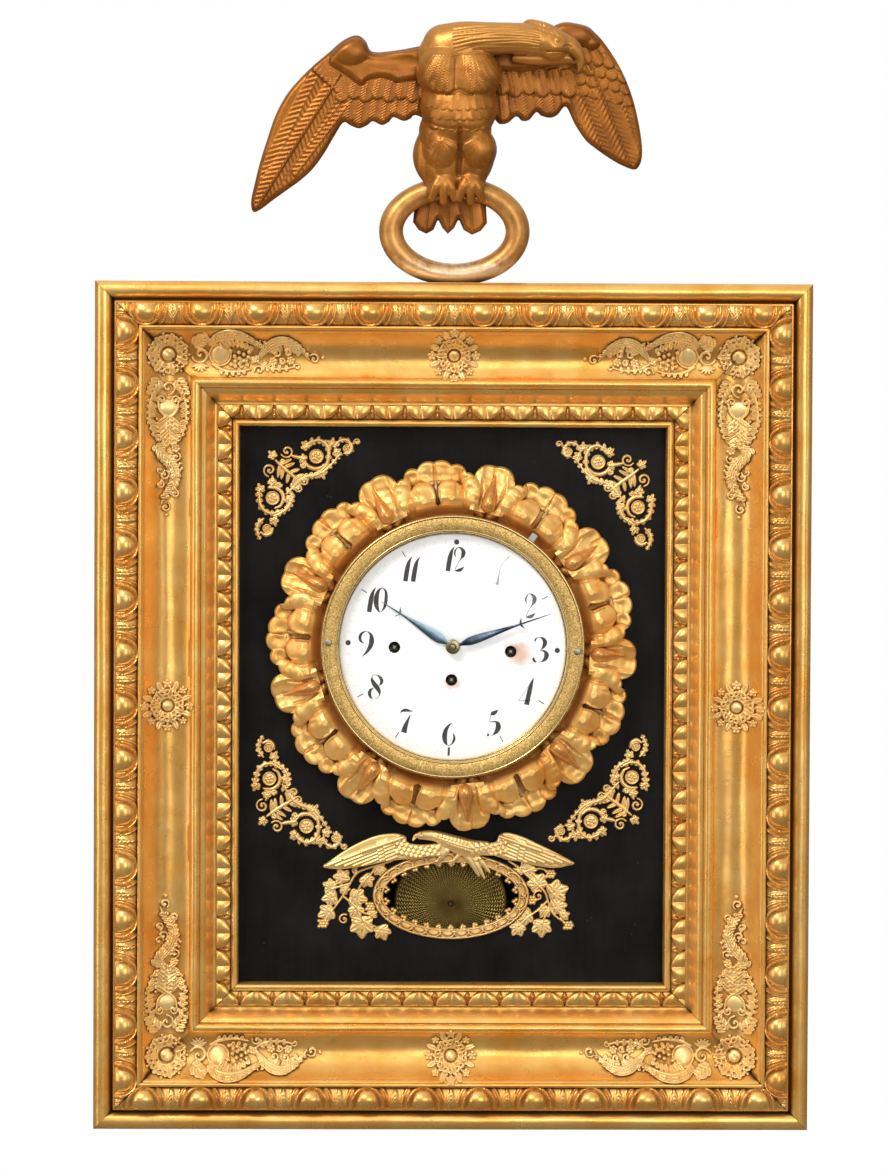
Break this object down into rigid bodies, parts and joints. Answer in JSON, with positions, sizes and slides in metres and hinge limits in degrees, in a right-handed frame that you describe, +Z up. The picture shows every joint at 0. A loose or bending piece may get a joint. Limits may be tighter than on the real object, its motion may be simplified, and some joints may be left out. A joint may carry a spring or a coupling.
{
  "type": "wall clock",
  "caption": "Gilt frame wall clock hinged to a shallow case: enamel dial in a carved wreath, window on the pendulum bob, winding trains, gongs and an eagle surmount.",
  "frame": {"origin": "on the wall plane behind the dial's axis: the face of the back board that rests on the wall, at the height of the hands", "axes": "+Y into the wall, so the clock faces -Y; +Z up; +X to the viewer's right"},
  "size_m": [0.5, 0.141, 0.776],
  "materials": {
    "pine": "plain oiled pine",
    "case_brass": "dull handled brass",
    "steel_screws": "grey, slotted heads",
    "frame_gilding": "burnished water gilding worn to red clay",
    "moulding_gilding": "burnished water gilding, dirt in the hollows",
    "ornament_gilding": "worn matt gilding on cast ornament",
    "ebonised_panel": "ebonised and waxed",
    "wreath_gilding": "matt gilding with burnished high points",
    "mount_brass": "matt gilt brass",
    "bezel_brass": "stippled matt brass with bright rims",
    "enamel": "white fired enamel",
    "carved_eagle_gilding": "worn gilding over red clay",
    "black_iron": "blacked",
    "movement_brass": "satin",
    "movement_steel": "polished grey",
    "blued_steel": "blued",
    "bob_brass": "engine turned"
  },
  "bodies": {
    "case": {"back_board": "pine", "case_walls": "pine", "hanging_plate": "case_brass", "case_screws": "steel_screws", "case_hinge_leaves": "case_brass"},
    "latch": {"latch_hook": "case_brass"},
    "frame": {"frame_rail_top": "frame_gilding", "frame_rail_bottom": "frame_gilding", "frame_rail_left": "frame_gilding", "frame_rail_right": "frame_gilding", "egg_moulding": "moulding_gilding", "leaf_moulding": "moulding_gilding", "corner_ornaments": "ornament_gilding", "centre_rosettes": "ornament_gilding", "panel": "ebonised_panel", "wreath": "wreath_gilding", "spandrel_mounts": "mount_brass", "aperture_ring": "mount_brass", "eagle_mount": "mount_brass", "vine_sprays": "mount_brass", "bezel": "bezel_brass", "sight_ring": "bezel_brass", "bezel_screws": "steel_screws", "dial": "enamel", "frame_hinge_leaves": "case_brass", "hook_stud": "case_brass", "eagle_ring": "carved_eagle_gilding", "eagle_body": "carved_eagle_gilding", "eagle_wings": "carved_eagle_gilding", "eagle_bracket": "black_iron", "front_plate": "movement_brass", "back_plate": "movement_brass", "plate_pillars": "movement_brass", "movement_posts": "movement_brass", "suspension_cock": "movement_brass", "clicks": "movement_steel", "gong_block": "movement_brass", "hour_gong": "blued_steel", "quarter_gong": "blued_steel"},
    "centre_arbor": {"centre_wheel": "movement_brass", "cannon_pinion": "movement_brass", "minute_hand": "blued_steel", "hand_nut": "bezel_brass"},
    "hour_pipe": {"hour_wheel": "movement_brass", "hour_hand": "blued_steel"},
    "minute_work": {"minute_wheel": "movement_brass"},
    "third_arbor": {"third_wheel": "movement_brass"},
    "escape_arbor": {"escape_wheel": "movement_brass"},
    "anchor": {"pallet_anchor": "movement_steel"},
    "pendulum": {"pendulum_rod": "movement_steel", "pendulum_bob": "bob_brass", "rating_nut": "bob_brass"},
    "going_drum": {"going_barrel": "movement_brass"},
    "going_arbor": {"going_winder": "movement_steel"},
    "hour_drum": {"hour_barrel": "movement_brass"},
    "hour_arbor": {"hour_winder": "movement_steel"},
    "quarter_drum": {"quarter_barrel": "movement_brass"},
    "quarter_arbor": {"quarter_winder": "movement_steel"},
    "hour_striker": {"hour_hammer": "movement_steel"},
    "quarter_striker": {"quarter_hammer": "movement_steel"}
  },
  "joints": [
    {"name": "frame_hinge", "type": "hinge", "parent": "case", "child": "frame", "pos_m": [-0.1745, -0.0925, -0.042], "axis": [0, 0, -1], "range_deg": [0, 90]},
    {"name": "latch_pivot", "type": "hinge", "parent": "case", "child": "latch", "pos_m": [0.1733, -0.07, -0.042], "axis": [-1, 0, 0], "range_deg": [0, 90]},
    {"name": "centre_turn", "type": "hinge", "parent": "frame", "child": "centre_arbor", "pos_m": [0, -0.05, 0], "axis": [0, 1, 0], "continuous": true},
    {"name": "hour_turn", "type": "hinge", "parent": "frame", "child": "hour_pipe", "pos_m": [0, -0.05, 0], "axis": [0, 1, 0], "continuous": true},
    {"name": "minute_wheel_turn", "type": "hinge", "parent": "frame", "child": "minute_work", "pos_m": [0.0099, -0.05, -0.0099], "axis": [0, 1, 0], "continuous": true},
    {"name": "going_drum_turn", "type": "hinge", "parent": "frame", "child": "going_drum", "pos_m": [-0.00078, -0.05, -0.02339], "axis": [0, 1, 0], "continuous": true},
    {"name": "third_turn", "type": "hinge", "parent": "frame", "child": "third_arbor", "pos_m": [0.00938, -0.05, 0.01856], "axis": [0, 1, 0], "continuous": true},
    {"name": "escape_turn", "type": "hinge", "parent": "frame", "child": "escape_arbor", "pos_m": [0, -0.05, 0.036], "axis": [0, 1, 0], "continuous": true},
    {"name": "pendulum_swing", "type": "hinge", "parent": "frame", "child": "pendulum", "pos_m": [0, -0.05, 0.0655], "axis": [0, 1, 0], "range_deg": [-3, 3]},
    {"name": "anchor_rock", "type": "hinge", "parent": "frame", "child": "anchor", "pos_m": [0, -0.05, 0.0655], "axis": [0, 1, 0], "range_deg": [-3, 3]},
    {"name": "going_winding", "type": "hinge", "parent": "frame", "child": "going_arbor", "pos_m": [-0.00078, -0.05, -0.02339], "axis": [0, 1, 0], "continuous": true},
    {"name": "hour_winding", "type": "hinge", "parent": "frame", "child": "hour_arbor", "pos_m": [-0.04074, -0.05, -0.00065], "axis": [0, 1, 0], "continuous": true},
    {"name": "quarter_winding", "type": "hinge", "parent": "frame", "child": "quarter_arbor", "pos_m": [0.04061, -0.05, -0.00335], "axis": [0, 1, 0], "continuous": true},
    {"name": "hour_drum_turn", "type": "hinge", "parent": "frame", "child": "hour_drum", "pos_m": [-0.04074, -0.05, -0.00065], "axis": [0, 1, 0], "continuous": true},
    {"name": "quarter_drum_turn", "type": "hinge", "parent": "frame", "child": "quarter_drum", "pos_m": [0.04061, -0.05, -0.00335], "axis": [0, 1, 0], "continuous": true},
    {"name": "hour_hammer_swing", "type": "hinge", "parent": "frame", "child": "hour_striker", "pos_m": [-0.0272, -0.05, 0.0419], "axis": [0, 1, 0], "range_deg": [-2, 12]},
    {"name": "quarter_hammer_swing", "type": "hinge", "parent": "frame", "child": "quarter_striker", "pos_m": [0.0272, -0.05, 0.0419], "axis": [0, 1, 0], "range_deg": [-12, 2]}
  ],
  "couplings": [
    {"joint": "hour_turn", "follows": "centre_turn", "ratio": 0.083333},
    {"joint": "minute_wheel_turn", "follows": "centre_turn", "ratio": -0.33333},
    {"joint": "going_drum_turn", "follows": "centre_turn", "ratio": -0.125},
    {"joint": "third_turn", "follows": "centre_turn", "ratio": -12},
    {"joint": "escape_turn", "follows": "centre_turn", "ratio": 120},
    {"joint": "anchor_rock", "follows": "pendulum_swing", "ratio": 1}
  ]
}
